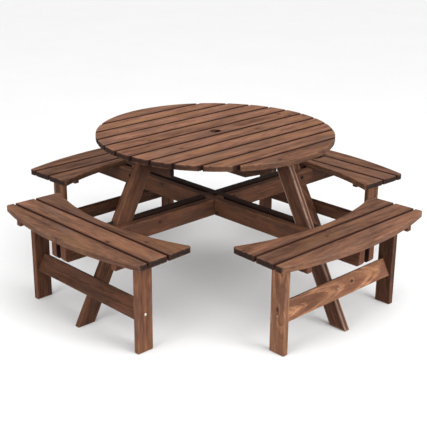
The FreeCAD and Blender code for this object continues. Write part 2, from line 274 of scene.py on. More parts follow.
def make_board(name, node, outline, axes, low, high, rng, shaded_edges=(), painted_shade_face=None):
    """Builds the board in the place of its CAD node. axes are the two directions of the outline and the
    one through the board, in which the board goes from low to high. The shaded edges are the places in the
    outline's plane where an edge gets painted shade, at a narrow gap or along a beam top, and the shaded
    face is the depth of the flat face that looks into a gap and is painted dark as shade."""
    made = stations(outline)
    bm = bmesh.new()
    worn_layer = bm.verts.layers.float.new("worn")
    painted_shade_layer = bm.verts.layers.float.new("painted_shade")
    loops = []
    seed = Vector((rng.uniform(0, 50), rng.uniform(0, 50), rng.uniform(0, 50)))
    for height, inset, worn in rings(high - low - 2 * SHRINK):
        depth = low + SHRINK + height
        loop = []
        for station in made:
            flat = station.at(inset + SHRINK)
            place = axes[0] * flat.x + axes[1] * flat.y + axes[2] * depth
            place = place + noise.noise_vector(place * WOBBLE_SCALE + seed) * WOBBLE
            vert = bm.verts.new(place)
            vert[worn_layer] = max(worn, station.worn if inset < ARRIS * 1.5 else 0.0)
            # Painted shade: points on the shaded edges, and on the shut face of a double beam, are marked
            # to be darkened.
            vert[painted_shade_layer] = gap_shade(station, inset, shaded_edges)
            if painted_shade_face is not None and abs(depth - painted_shade_face) < ARRIS:
                vert[painted_shade_layer] = 1.0
            loop.append(vert)
        loops.append(loop)
    join_loops(bm, loops)
    bm.faces.new(list(reversed(loops[0])))
    bm.faces.new(loops[-1])
    bmesh.ops.remove_doubles(bm, verts=bm.verts, dist=SAME_PLACE)
    bmesh.ops.recalc_face_normals(bm, faces=bm.faces)
    bmesh.ops.triangulate(bm, faces=[face for face in bm.faces if len(face.verts) > 4])
    return smooth_piece(name + "_board", bm, node)


def join_loops(bm, loops):
    """Closes the wall between each loop of vertices and the next."""
    for lower, upper in zip(loops, loops[1:]):
        for index, vert in enumerate(lower):
            following = (index + 1) % len(lower)
            bm.faces.new((vert, lower[following], upper[following], upper[index]))


LEAN, BOLD_LEAN = 0.03, 0.10


def add_grain(piece, axes, rng, lean=LEAN):
    """Grain coordinates in metres: along the board, then across and through it from a pith of its own,
    which leans through the board, so that rings run out of its face as nested arches. axes are the
    three directions along, across and through the board."""
    mesh = piece.data
    count = len(mesh.vertices)
    places = np.empty(count * 3)
    mesh.vertices.foreach_get("co", places)
    local = places.reshape(-1, 3) @ np.array(axes).T
    shifted = local - (local.min(0) + local.max(0)) / 2
    tilt = rng.uniform(-0.02, 0.02)
    pith_across = rng.uniform(-0.05, 0.05)
    pith_through = rng.choice((-1, 1)) * rng.uniform(0.025, 0.085)
    shifted[:, 1] += pith_across + tilt * shifted[:, 0]
    shifted[:, 2] += pith_through + lean * shifted[:, 0]
    shifted[:, 0] += rng.uniform(0, 40)
    tones = (rng.uniform(-1, 1), rng.uniform(-1, 1), rng.uniform(0, 60))
    fibre = np.tile(np.array(axes[0], np.float32), count)
    tint = np.tile(np.array(tones, np.float32), count)
    for name, values in (("grain", shifted.astype(np.float32).ravel()), ("fibre", fibre), ("tint", tint)):
        mesh.attributes.new(name, "FLOAT_VECTOR", "POINT").data.foreach_set("vector", values)


# -------- node helpers

class Shader:
    """A material, with short ways to add nodes to it."""

    def __init__(self, name):
        self.material = bpy.data.materials.new(name)
        self.material.use_nodes = True
        self.tree = self.material.node_tree

    def fill(self, node, values):
        """Links or sets the inputs of a node by their names or numbers."""
        for name, value in values.items():
            if isinstance(value, bpy.types.NodeSocket):
                self.tree.links.new(value, node.inputs[name])
            else:
                node.inputs[name].default_value = value

    def node(self, kind, values=None, **settings):
        node = self.tree.nodes.new("ShaderNode" + kind)
        for name, setting in settings.items():
            setattr(node, name, setting)
        self.fill(node, values or {})
        return node

    def surface(self, values):
        """Finishes the material with the inputs of its surface."""
        self.fill(self.tree.nodes["Principled BSDF"], values)
        return self.material

    def attribute(self, name, output="Vector"):
        return self.node("Attribute", attribute_name=name).outputs[output]

    def maths(self, operation, first, second=0.0):
        return self.node("Math", {0: first, 1: second}, operation=operation).outputs[0]

    def times(self, first, second):
        return self.maths("MULTIPLY", first, second)

    def plus(self, first, second):
        return self.maths("ADD", first, second)

    def vector(self, operation, first, second=(0, 0, 0)):
        node = self.node("VectorMath", {0: first, 1: second}, operation=operation)
        return node.outputs["Value" if operation in ("DOT_PRODUCT", "LENGTH") else "Vector"]

    def split(self, source):
        return self.node("SeparateXYZ", {0: source}).outputs

    def join(self, x, y, z):
        return self.node("CombineXYZ", {0: x, 1: y, 2: z}).outputs[0]

    def noise(self, place, scale, detail, roughness, colour=False):
        values = {"Vector": place, "Scale": scale, "Detail": detail, "Roughness": roughness}
        return self.node("TexNoise", values).outputs["Color" if colour else "Fac"]

    def streaks(self, place, along, around, detail, roughness, colour=False):
        """Noise that is drawn out along the grain: along and around are its scales per metre."""
        place = self.vector("MULTIPLY", place, (along, around, around))
        return self.noise(place, 1.0, detail, roughness, colour)

    def ramp(self, source, stops, smooth=False):
        """Greys at places from 0 to 1."""
        node = self.node("ValToRGB", {0: source})
        node.color_ramp.interpolation = "EASE" if smooth else "LINEAR"
        elements = node.color_ramp.elements
        while len(elements) < len(stops):
            elements.new(0.5)
        for element, (place, grey) in zip(elements, stops):
            element.position = place
            element.color = (grey, grey, grey, 1.0)
        return node.outputs[0]

    def range(self, source, low, high, to_low=0.0, to_high=1.0):
        values = {"Value": source, "From Min": low, "From Max": high, "To Min": to_low, "To Max": to_high}
        return self.node("MapRange", values).outputs["Result"]

    def mix(self, share, first, second, blend="MIX"):
        values = {0: share, 6: first, 7: second}
        return self.node("Mix", values, data_type="RGBA", blend_type=blend).outputs[2]

    def shade(self, colour, tone):
        """A colour made darker or brighter by a factor."""
        return self.mix(1.0, colour, self.join(tone, tone, tone), "MULTIPLY")

    def bump(self, height, distance, strength):
        return self.node("Bump", {"Distance": distance, "Strength": strength, "Height": height}).outputs[0]


def srgb(red, green, blue):
    """A colour given as it looks on a screen, out of 255, in the linear values that shaders use."""
    def linear(part):
        part /= 255
        return part / 12.92 if part <= 0.04045 else ((part + 0.055) / 1.055) ** 2.4
    return (linear(red), linear(green), linear(blue), 1.0)


# -------- stained wood

class Palette:
    """One batch of stained boards: its colours as they look on a screen, how strongly its figure and its
    worn arrises show, and how much painted shade darkens its upright faces beside its level faces. The
    colours are early, late, warm, grey, bare and dark, with end_grain where that isn't dark. A batch with
    the arris highlight flag set gets a painted highlight: the wear along its arrises is broad and almost
    unbroken."""

    def __init__(self, figure, wear=0.28, sides=1.0, rubbed=False, **colours):
        self.figure = figure
        self.wear = wear
        self.sides = sides
        # A painted arris highlight makes the wear along the arrises broad and almost unbroken.
        self.wear_falloff = 0.9 if rubbed else 1.6
        self.wear_patches = (0.15, 0.50) if rubbed else (0.40, 0.66)
        for name, colour in {"end_grain": colours["dark"], **colours}.items():
            setattr(self, name, srgb(*colour))


# Knots: cells per metre, how long an eye is beside its width, which cells have a knot, and between which
# distances in metres an eye and its halo fade.
KNOT_ALONG, KNOT_ACROSS = 2.2, 9.0
KNOT_FLAT = 0.62
KNOT_RARE = (0.66, 0.74)
KNOT_EYE = (0.0085, 0.0045)
KNOT_HALO = (0.036, 0.004)
# Rings per metre, how far they wander, and how far they bulge round a knot.
FINE_RINGS, BROAD_RINGS = 165.0, 42.0
WANDER_REACH = 0.026
KNOT_SWELL = 0.016
# Marks in the wood: scales per metre along the grain and around it, detail and roughness.
WANDER = (1.3, 9.0, 2.0, 0.5)
FIBRE = (7.0, 330.0, 3.0, 0.6)
STREAK = (3.0, 50.0, 4.0, 0.66)
PATCH = (3.2, 13.0, 3.0, 0.6)
FLECK = (17.0, 105.0, 2.0, 0.5)
BLUSH = (4.0, 17.0, 2.0, 0.5)
CHIP = (22.0, 60.0, 3.0, 0.6)
# How much each of them deepens the stain, and the range of depth from the early to the late colour.
STREAK_DEPTH, FLECK_DEPTH, PATCH_DEPTH, TONE_DEPTH = 0.85, 1.15, 0.9, 0.08
STAIN_RANGE = (0.20, 1.00)
# Where a blush begins and is full, how much a warm, grey, fibrous or knotty place shows, and how dark the
# painted shade at gaps and shut places is.
BLUSH_RANGE = (0.50, 0.68)
WARM_SHARE, GREY_SHARE, FIBRE_SHARE, HALO_SHARE, EYE_SHARE, PAINTED_SHADE_SHARE = 0.75, 0.65, 0.8, 0.40, 0.85, 0.90


def knots(shader, grain, layer):
    """Few, small knots: cells stretched along the board, each with an eye that the rings bend round."""
    along, across = shader.split(grain)[:2]
    place = shader.join(shader.times(along, KNOT_ALONG), shader.times(across, KNOT_ACROSS), layer)
    cells = shader.node("TexVoronoi", {"Vector": place, "Scale": 1.0}).outputs
    rare = shader.range(shader.split(cells["Color"])[0], *KNOT_RARE)
    near = shader.vector("SUBTRACT", place, cells["Position"])
    near = shader.vector("MULTIPLY", near, (KNOT_FLAT / KNOT_ALONG, 1 / KNOT_ACROSS, 0.0))
    distance = shader.vector("LENGTH", near)
    return [shader.times(shader.range(distance, *span), rare) for span in (KNOT_EYE, KNOT_HALO)]


def growth(shader, grain, halo):
    """Rings about the pith, wandering slowly along the board: fine ones, and broad bands of them."""
    wander = shader.vector("SUBTRACT", shader.streaks(grain, *WANDER, colour=True), (0.5, 0.5, 0.5))
    wander = shader.vector("MULTIPLY", wander, (0.0, WANDER_REACH, WANDER_REACH))
    bent = shader.vector("ADD", grain, wander)
    from_pith = shader.vector("LENGTH", shader.vector("MULTIPLY", bent, (0.0, 1.0, 1.0)))
    radius = shader.plus(from_pith, shader.times(shader.maths("POWER", halo, 2.0), KNOT_SWELL))
    fine = shader.maths("FRACT", shader.times(radius, FINE_RINGS))
    fine = shader.ramp(fine, [(0.0, 0.05), (0.45, 0.25), (0.82, 0.95), (0.93, 1.0), (1.0, 0.05)])
    broad = shader.maths("FRACT", shader.times(radius, BROAD_RINGS))
    broad = shader.ramp(broad, [(0.0, 0.1), (0.35, 0.0), (0.75, 1.0), (0.9, 0.8), (1.0, 0.1)], smooth=True)
    return bent, fine, broad


def stain_depth(shader, bent, fine, broad, tone, figure):
    """How deep the stain is over rings, streaks, flecks and patches, deeper or paler by the board."""
    strength = shader.range(tone, -1.0, 1.0, figure * 0.4, figure)
    depth = shader.plus(shader.times(fine, 0.12 + 0.40 * figure), shader.times(broad, strength))
    depth = shader.plus(depth, shader.times(shader.streaks(bent, *STREAK), STREAK_DEPTH))
    for marks, weight in ((FLECK, FLECK_DEPTH), (PATCH, PATCH_DEPTH)):
        centred = shader.maths("SUBTRACT", shader.streaks(bent, *marks), 0.5)
        depth = shader.plus(depth, shader.times(centred, weight))
    return shader.plus(depth, shader.times(tone, TONE_DEPTH))


def with_blushes(shader, colour, bent, palette):
    """Patches where the stain turned warmer, greyer or deeper."""
    warm, grey, deep = shader.split(shader.streaks(bent, *BLUSH, colour=True))
    colour = shader.mix(shader.times(shader.range(warm, *BLUSH_RANGE), WARM_SHARE), colour, palette.warm)
    colour = shader.mix(shader.times(shader.range(grey, *BLUSH_RANGE), GREY_SHARE), colour, palette.grey)
    return shader.shade(colour, shader.range(deep, 0.36, 0.60, 0.80, 1.06))


def by_face(shader, colour, painted_shade, palette):
    """End grain takes up more stain. Painted shade darkens the walls of gaps and holes, the shaded beam
    tops and shut faces, and upright faces beside level ones."""
    normal = shader.node("NewGeometry").outputs["Normal"]
    facing = shader.maths("ABSOLUTE", shader.vector("DOT_PRODUCT", shader.attribute("fibre"), normal))
    colour = shader.mix(shader.range(facing, 0.55, 0.9, 0.0, 0.93), colour, palette.end_grain)
    # Painted shade at gaps, holes, beam tops and shut faces.
    colour = shader.mix(shader.times(painted_shade, PAINTED_SHADE_SHARE), colour, palette.dark)
    level = shader.maths("ABSOLUTE", shader.split(normal)[2])
    # Painted shade: upright faces are darker than level ones by the palette's factor.
    return shader.shade(colour, shader.range(level, 0.3, 0.8, palette.sides, 1.0))


def wear_along_arrises(shader, grain, painted_shade, palette):
    """Worn arrises show in uneven stretches, and not where painted shade lies at gaps and shut places."""
    wear = shader.maths("POWER", shader.attribute("worn", "Fac"), palette.wear_falloff)
    wear = shader.times(wear, shader.range(shader.streaks(grain, *CHIP), *palette.wear_patches))
    return shader.times(wear, shader.maths("SUBTRACT", 1.0, painted_shade))


def stained_wood(name, **batch):
    """Flat-sawn softwood under a thin stain: rings, fibres, streaks, patches, knots and worn arrises."""
    palette = Palette(**batch)
    shader = Shader("stained_" + name)
    grain = shader.attribute("grain")
    tone, warmth, layer = shader.split(shader.attribute("tint"))
    painted_shade = shader.attribute("painted_shade", "Fac")
    eye, halo = knots(shader, grain, layer)
    bent, fine, broad = growth(shader, grain, halo)
    fibre = shader.streaks(bent, *FIBRE)
    wear = wear_along_arrises(shader, grain, painted_shade, palette)

    depth = stain_depth(shader, bent, fine, broad, tone, palette.figure)
    colour = shader.mix(shader.range(depth, *STAIN_RANGE), palette.early, palette.late)
    colour = with_blushes(shader, colour, bent, palette)
    fibre_tone = shader.ramp(fibre, [(0.30, 0.62), (0.52, 1.0), (0.75, 1.16)])
    colour = shader.mix(FIBRE_SHARE, colour, fibre_tone, "MULTIPLY")
    colour = shader.shade(colour, shader.range(warmth, -1.0, 1.0, 0.91, 1.06))
    colour = shader.mix(shader.times(halo, HALO_SHARE), colour, palette.late)
    colour = shader.mix(shader.times(eye, EYE_SHARE), colour, palette.dark)
    colour = by_face(shader, colour, painted_shade, palette)
    colour = shader.mix(shader.times(wear, palette.wear), colour, palette.bare)

    rough = shader.plus(shader.range(fibre, 0.3, 0.7, 0.80, 0.60), shader.times(wear, 0.12))
    height = shader.plus(shader.times(fibre, 0.6), shader.times(fine, 0.5))
    height = shader.plus(height, shader.times(eye, 1.2))
    return shader.surface({"Base Color": colour, "Roughness": rough, "Specular IOR Level": 0.12,
                           "Normal": shader.bump(height, 0.0006, 0.75)})


def plated(name, bright, dull, stained):
    """Plated steel with a dull, slightly mottled surface."""
    shader = Shader(name)
    place = shader.node("TexCoord").outputs["Object"]
    mottle = shader.noise(place, 900.0, 4.0, 0.6)
    stain = shader.noise(place, 260.0, 3.0, 0.6)
    colour = shader.mix(shader.range(mottle, 0.3, 0.7), srgb(*bright), srgb(*dull))
    colour = shader.mix(shader.range(stain, 0.58, 0.75), colour, srgb(*stained))
    return shader.surface({"Base Color": colour, "Metallic": 0.85,
                           "Roughness": shader.range(mottle, 0.3, 0.7, 0.32, 0.52),
                           "Normal": shader.bump(mottle, 0.0002, 0.4)})


# In each palette, the value for upright faces is painted shade: it darkens the sides of the boards beside
# their tops.
TOP_WOOD = stained_wood(
    "top", figure=0.32, sides=0.46, early=(137, 96, 75), late=(86, 54, 40), warm=(128, 89, 60),
    grey=(104, 77, 64), bare=(143, 106, 81), dark=(46, 21, 14))
DEEP_TOP_WOOD = stained_wood(
    "deep_top", figure=0.30, sides=0.56, early=(119, 82, 62), late=(74, 46, 34), warm=(110, 76, 51),
    grey=(90, 66, 54), bare=(128, 96, 74), dark=(42, 20, 14))
# The seat's end grain takes up more stain, and its near-black colour also paints the shade on the ends of
# the seats.
SEAT_WOOD = stained_wood(
    "seat", figure=0.32, sides=0.80, early=(118, 82, 63), late=(75, 48, 35), warm=(112, 78, 54),
    grey=(92, 69, 57), bare=(128, 98, 78), dark=(48, 23, 16), end_grain=(26, 14, 11))
FRAME_WOOD = stained_wood(
    "frame", figure=0.48, early=(120, 80, 58), late=(67, 40, 29), warm=(106, 71, 47),
    grey=(82, 56, 44), bare=(140, 106, 85), dark=(35, 21, 15))
# A bold figure, and a palette brighter than the rest of the frame as painted light on these boards.
FIGURED_AND_LIT_WOOD = stained_wood(
    "figured_and_lit", figure=0.95, early=(158, 114, 84), late=(100, 65, 48), warm=(130, 91, 66),
    grey=(104, 73, 58), bare=(152, 116, 90), dark=(40, 24, 17))
# Part a deeper stain, part painted shade: these boards lie under the seats and the tabletop or face away
# from the light.
DARKER_STAIN_AND_SHADE_WOOD = stained_wood(
    "deep", figure=0.22, early=(92, 58, 41), late=(52, 31, 21), warm=(84, 54, 37),
    grey=(65, 44, 34), bare=(118, 86, 66), dark=(28, 15, 10), end_grain=(76, 44, 30))
# Painted highlight: broad, pale wear along the arrises stands for the highlight on the rounded arris, on
# top of real wear.
PAINTED_HIGHLIGHT_WOOD = stained_wood(
    "rubbed", figure=0.24, wear=0.62, rubbed=True, early=(92, 59, 43), late=(55, 33, 23),
    warm=(84, 55, 39), grey=(66, 46, 36), bare=(146, 120, 106), dark=(26, 15, 11))
# Painted shade: the darkest palette, for the bearers and head blocks under the tabletop.
SHADED_WOOD = stained_wood(
    "shaded", figure=0.24, early=(66, 43, 32), late=(38, 24, 18), warm=(60, 41, 29),
    grey=(50, 36, 29), bare=(92, 66, 50), dark=(22, 13, 10))
ZINC = plated("zinc_plate", (212, 205, 194), (172, 166, 158), (126, 104, 84))
TARNISHED = plated("tarnished_zinc", (150, 124, 104), (122, 100, 84), (92, 68, 52))
BROWNED = plated("browned_zinc", (88, 58, 42), (68, 44, 32), (54, 36, 26))
DARK_STEEL = plated("dark_steel", (26, 22, 20), (18, 15, 14), (30, 20, 15))


# Boards painted darker than the rest of the frame, part deeper stain and part painted shade; the one
# with a painted highlight along its arrises; those painted darkest as shade under the tabletop; and
# boards with a bold figure, painted brighter as light.
DARKER_STAIN_AND_SHADE_BOARDS = ("bench_leg_front_left_b", "beam_along", "bench_leg_front_right_a", "seat_batten",
               "bench_rail_back", "bench_rail_front_left", "diagonal_leg_front_left")
PAINTED_HIGHLIGHT_BOARDS = ("diagonal_leg_front_right",)
SHADED_BOARDS = ("bearer", "head_blocks")
FIGURED_AND_LIT_BOARDS = ("bench_leg_front_right_b", "bench_rail_front_right")
BATCHES = ((DARKER_STAIN_AND_SHADE_BOARDS, DARKER_STAIN_AND_SHADE_WOOD), (PAINTED_HIGHLIGHT_BOARDS, PAINTED_HIGHLIGHT_WOOD),
           (SHADED_BOARDS, SHADED_WOOD), (FIGURED_AND_LIT_BOARDS, FIGURED_AND_LIT_WOOD))


def frame_wood(node):
    for boards, wood in BATCHES:
        if node.startswith(boards):
            return wood
    return FRAME_WOOD


def frame_board(node, outline, axes, low, high, rng, grain_axes=None, name=None, shaded_edges=(), painted_shade_face=None):
    """A board of the frame in its own stain. Its grain follows the axes of its outline if grain_axes
    aren't given. The pith leans most where the figure is bold."""
    piece = make_board(name or node, node, outline, axes, low, high, rng, shaded_edges, painted_shade_face)
    add_grain(piece, grain_axes or axes, rng, BOLD_LEAN if node.startswith(FIGURED_AND_LIT_BOARDS) else LEAN)
    dress(piece, frame_wood(node))
    return piece


# -------- tabletop

# The slat that took the stain more deeply than the rest of the tabletop.
DEEP_SLAT = "top_slat_01"
# An edge of a slat this near to the tabletop's radius is no edge, but the rim itself.
RIM = 0.999


def top_outline(low_y, high_y, radius):
    """A strip across a disc: straight edges along X and an arc at each end."""
    def edge(y, sign):
        if sign * y >= radius * RIM:
            return [(0, sign * radius, 0, True)]
        reach = math.sqrt(radius ** 2 - y ** 2)
        return squared([(sign * reach, y), (-sign * reach, y)])

    low_angle, high_angle = math.asin(max(low_y / radius, -1)), math.asin(min(high_y / radius, 1))
    return (edge(low_y, -1) + arc_corners((0, 0), radius, low_angle, high_angle) +
            edge(high_y, 1) + arc_corners((0, 0), radius, math.pi - high_angle, math.pi - low_angle))


def cut_with(piece, holes, segments=20):
    """Takes round holes out of a piece. holes are (start, end, radius), and their walls get painted shade.
    """
    bm = bmesh.new()
    for start, end, radius in holes:
        along = end - start
        place = Matrix.Translation((start + end) / 2) @ along.to_track_quat("Z", "Y").to_matrix().to_4x4()
        bmesh.ops.create_cone(bm, cap_ends=True, segments=segments, radius1=radius, radius2=radius,
                              depth=along.length, matrix=place)
    # Painted shade: the walls of the holes are marked to be darkened.
    painted_shade_layer = bm.verts.layers.float.new("painted_shade")
    for vert in bm.verts:
        vert[painted_shade_layer] = 1.0
    cutter = object_of("cutter", bm)
    modifier = piece.modifiers.new("holes", "BOOLEAN")
    modifier.operation = "DIFFERENCE"
    modifier.solver = "MANIFOLD"
    modifier.object = cutter
    graph = bpy.context.evaluated_depsgraph_get()
    cut = bpy.data.meshes.new_from_object(piece.evaluated_get(graph))
    if not cut.polygons:
        raise RuntimeError("drilling left nothing of " + piece.name)
    piece.modifiers.clear()
    piece.data = cut
    bpy.data.objects.remove(cutter)


def make_top(rng):
    slats = sorted(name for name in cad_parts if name.startswith("top_slat"))
    radius = max(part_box(name)[1].x for name in slats)
    axes = (ALONG_X, ALONG_Y, UP)
    for name in slats:
        low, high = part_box(name)
        shaded_edges = [(1, edge) for edge in (low.y, high.y) if abs(edge) < radius * RIM]
        piece = make_board(name, name, top_outline(low.y, high.y, radius), axes, low.z, high.z, rng, shaded_edges)
        if abs(low.y + high.y) < MILLIMETRE:
            cut_with(piece, [(UP * (low.z - 0.01), UP * (high.z + 0.01), PARASOL_HOLE)], segments=48)
        add_grain(piece, axes, rng)
        dress(piece, DEEP_TOP_WOOD if name == DEEP_SLAT else TOP_WOOD)


# -------- benches

def side_frame(side):
    """Outward and sideways directions of a bench."""
    outward = Vector((*SIDES[side], 0))
    return outward, UP.cross(outward)


def bench_span(node, side):
    """Low and high of a node along outward, sideways and up."""
    outward, sideways = side_frame(side)
    low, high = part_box(node)
    ends = [(axis.dot(low), axis.dot(high)) for axis in (outward, sideways, UP)]
    return [(min(pair), max(pair)) for pair in ends]


def seat_end(place, first_gap):
    return SEAT_HALF + SEAT_FLARE * (place - first_gap)


def seat_outlines(inner_far, middle, outer_near, first_gap):
    """Outlines of the inner, middle and outer boards of a bench, outward along x."""
    def arc_x(centre, radius, y):
        return centre + math.sqrt(radius ** 2 - y ** 2)

    def arc_side(centre, radius, sign):
        """An arc from the side of a sign to the other side. It ends where it meets the slanting ends of
        the boards, which each step comes closer to."""
        y = SEAT_HALF
        for _ in range(4):
            y = seat_end(arc_x(centre, radius, y), first_gap)
        x = arc_x(centre, radius, y)
        angle = sign * math.asin(y / radius)
        return [(x, sign * y, SEAT_CORNER, False), *arc_corners((centre, 0), radius, angle, -angle),
                (x, -sign * y, SEAT_CORNER, False)]

    inner_end, low_end, high_end, outer_end = (
        seat_end(place, first_gap) for place in (inner_far, *middle, outer_near))
    return {
        "inner": squared([(inner_far, -inner_end), (inner_far, inner_end)]) +
        arc_side(SEAT_INNER_CENTRE, SEAT_INNER_RADIUS, 1),
        "middle": squared([(middle[0], -low_end), (middle[1], -high_end),
                           (middle[1], high_end), (middle[0], low_end)]),
        "outer": squared([(outer_near, -outer_end)]) +
        arc_side(SEAT_OUTER_CENTRE, SEAT_OUTER_RADIUS, -1) + squared([(outer_near, outer_end)])}


def make_seat(side, rng):
    outward, sideways = side_frame(side)
    middle = bench_span("seat_middle_" + side, side)[0]
    inner_far = bench_span("seat_inner_" + side, side)[0][1]
    outer_near = bench_span("seat_outer_" + side, side)[0][0]
    outlines = seat_outlines(inner_far, middle, outer_near, (inner_far + middle[0]) / 2)
    gap_places = {"inner": [inner_far], "middle": middle, "outer": [outer_near]}
    for place, outline in outlines.items():
        node = "seat_%s_%s" % (place, side)
        low, high = bench_span(node, side)[2]
        shaded_edges = [(0, edge) for edge in gap_places[place]]
        piece = make_board(node, node, outline, (outward, sideways, UP), low, high, rng, shaded_edges)
        add_grain(piece, (sideways, outward, UP), rng)
        dress(piece, SEAT_WOOD)


# -------- legs, rails and battens

def make_upright(node, side, rng, along, across, through):
    """A plain rectangular board. along, across and through say which direction of the bench its length,
    its width and its thickness have: 0 is outward, 1 is sideways and 2 is up."""
    directions = (*side_frame(side), UP)
    span = bench_span(node, side)
    outline = rectangle(*span[along], *span[across])
    axes = (directions[along], directions[across], directions[through])
    return frame_board(node, outline, axes, *span[through], rng)


def slanted_axes(side):
    """Directions up along the slanted leg and square to it, outwards."""
    outward = side_frame(side)[0]
    return (UP - outward * LEG_SLANT).normalized(), (outward + UP * LEG_SLANT).normalized()


def make_diagonal_leg(side, rng):
    node = "diagonal_leg_" + side
    outward, sideways = side_frame(side)
    up_leg, square = slanted_axes(side)
    reach, spread, rise = bench_span(node, side)
    run = LEG_SLANT * (rise[1] - rise[0])
    foot_wide = reach[1] - reach[0] - run
    foot_outer = outward * reach[1]
    corners = [foot_outer, foot_outer + UP * rise[1] - outward * run,
               foot_outer + UP * rise[1] - outward * (run + foot_wide), foot_outer - outward * foot_wide]
    outline = squared([(corner.dot(up_leg), -corner.dot(square)) for corner in corners])
    frame_board(node, outline, (up_leg, -square, sideways), *spread, rng,
                grain_axes=(up_leg, square, sideways))


def make_rail(side, rng):
    node = "bench_rail_" + side
    outward, sideways = side_frame(side)
    up_leg, square = slanted_axes(side)
    reach, spread, rise = bench_span(node, side)
    cos = up_leg.dot(UP)
    sin = -up_leg.dot(outward)
    # The box of a tilted board gives its width and thickness back.
    deep, tall = reach[1] - reach[0], rise[1] - rise[0]
    wide = (tall * cos - deep * sin) / (cos ** 2 - sin ** 2)
    thick = (deep * cos - tall * sin) / (cos ** 2 - sin ** 2)
    low_inner = outward * (reach[1] - thick * cos) + UP * rise[0]
    start, depth = low_inner.dot(up_leg), low_inner.dot(square)
    outline = rectangle(*spread, start, start + wide)
    frame_board(node, outline, (sideways, up_leg, square), depth, depth + thick, rng)


# -------- beams, bearers and head blocks

def make_beam(axis, end, rng):
    """A beam board on edge with bevelled lower corners and two half-lap notches."""
    node = "beam_along_%s_%s" % (axis, end)
    low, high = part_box(node)
    other_low, other_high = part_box("beam_along_%s_a" % ("y" if axis == "x" else "x"))
    crossing = (other_low.x, other_high.x) if axis == "x" else (other_low.y, other_high.y)
    near, far = sorted(abs(value) for value in crossing)
    along, across = (ALONG_X, ALONG_Y) if axis == "x" else (ALONG_Y, ALONG_X)
    reach = high.dot(along)
    bottom, top = low.z, high.z
    middle = (bottom + top) / 2

    def notches(edge, spans):
        """Corners of half-lap notches in an edge, each from the first end of its span to the second."""
        return [corner for first, second in spans
                for corner in ((first, edge), (first, middle), (second, middle), (second, edge))]

    points = [(-reach + BEAM_BEVEL, bottom)]
    points += notches(bottom, ((-far, -near), (near, far))) if axis == "y" else []
    points += [(reach - BEAM_BEVEL, bottom), (reach, bottom + BEAM_BEVEL), (reach, top)]
    points += notches(top, ((far, near), (-near, -far))) if axis == "x" else []
    points += [(-reach, top), (-reach, bottom + BEAM_BEVEL)]
    faces = (low.dot(across), high.dot(across))
    # Painted shade darkens the top edges of the boards at end a, as the shade under the tabletop.
    shaded_tops = [(1, top)] if end == "a" else []
    return frame_board(node, squared(points), (along, UP, across), *faces, rng,
                       shaded_edges=shaded_tops, painted_shade_face=min(faces, key=abs))


def make_bearer(node, rng):
    """A board on edge whose lower edge rises towards both tips."""
    low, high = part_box(node)
    full = high.y - (high.z - low.z) * 2
    tip = high.z - (high.z - low.z) / 4
    outline = squared([(-full, low.z), (full, low.z), (high.y, tip),
                       (high.y, high.z), (-high.y, high.z), (-high.y, tip)])
    return frame_board(node, outline, (ALONG_Y, UP, ALONG_X), low.x, high.x, rng)


def make_head_blocks(side, rng):
    """The two blocks of one leg's head, which both stand for their shared node."""
    node = "head_blocks_" + side
    outward, sideways = side_frame(side)
    span = bench_span(node, side)
    leg = bench_span("diagonal_leg_" + side, side)[1][1]
    blocks = []
    for end, sign in ENDS.items():
        outline = rectangle(*sorted((sign * leg, sign * span[1][1])), *span[2])
        axes = (sideways, UP, outward)
        blocks.append(frame_board(node, outline, axes, *span[0], rng, name="%s_%s" % (node, end)))
    return blocks


# -------- fasteners

# The heads of screws, the heads of bolts and the nuts are this high, and the shanks have these radii.
SCREW_HEAD, BOLT_HEAD, NUT = 0.003, 0.006, 0.008
SHANK, LONG_SHANK, BOLT_SHANK = 0.0024, 0.0034, 0.0049
# A bench screw longer than this has the thicker shank and a domed head.
LONG_SCREW = 0.06
# A frame fastener with a smaller radius than this is a dowel.
THINNEST_BOLT = 0.006
# Radii of the holes round the heads, how far a counterbore runs below and above the outer face of its
# screw's head, and how far a recess runs outwards from the seat of its head or nut.
COUNTERBORE, BORE_BELOW, BORE_ABOVE = 0.006, 0.095, 0.0031
BOLT_RECESS, RECESS_DEPTH = 0.0095, 0.012
# How long a slice at the end of a fastener gives its middle and its radius.
END_SLICE = 1e-4
# Edges between faces that turn more than this, in degrees, are sharp.
SHARP_TURN = 35


def islands(node):
    """The separate solids of a CAD node, each as an array of its points."""
    bm = bmesh.new()
    bm.from_mesh(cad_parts[node].data)
    bmesh.ops.remove_doubles(bm, verts=bm.verts, dist=SAME_PLACE)
    left = set(bm.verts)
    found = []
    while left:
        start = min(left, key=lambda vert: vert.index)
        reached, waiting = {start}, [start]
        while waiting:
            for edge in waiting.pop().link_edges:
                for vert in edge.verts:
                    if vert not in reached:
                        reached.add(vert)
                        waiting.append(vert)
        left -= reached
        found.append(np.array([vert.co for vert in sorted(reached, key=lambda vert: vert.index)]))
    bm.free()
    return found


def centre_of(points):
    return Vector((points.min(0) + points.max(0)) / 2)


def spread_of(points):
    middle = centre_of(points)
    return max((Vector(point) - middle).length for point in points)


class Fastener:
    """Where one fastener of a group lies: its axis points from the tip to the head."""

    def __init__(self, points):
        middle = points.mean(0)
        axis = Vector(np.linalg.eigh(np.cov((points - middle).T))[1][:, 2])
        lengths = (points - middle) @ np.array(axis)
        ends = [points[lengths > lengths.max() - END_SLICE], points[lengths < lengths.min() + END_SLICE]]
        radii = [spread_of(end) for end in ends]
        if radii[1] > radii[0]:
            axis = -axis
            ends.reverse()
            radii.reverse()
        self.axis = axis
        self.top, self.tip = (centre_of(end) for end in ends)
        self.radius = radii[0]
        self.length = (self.top - self.tip).length


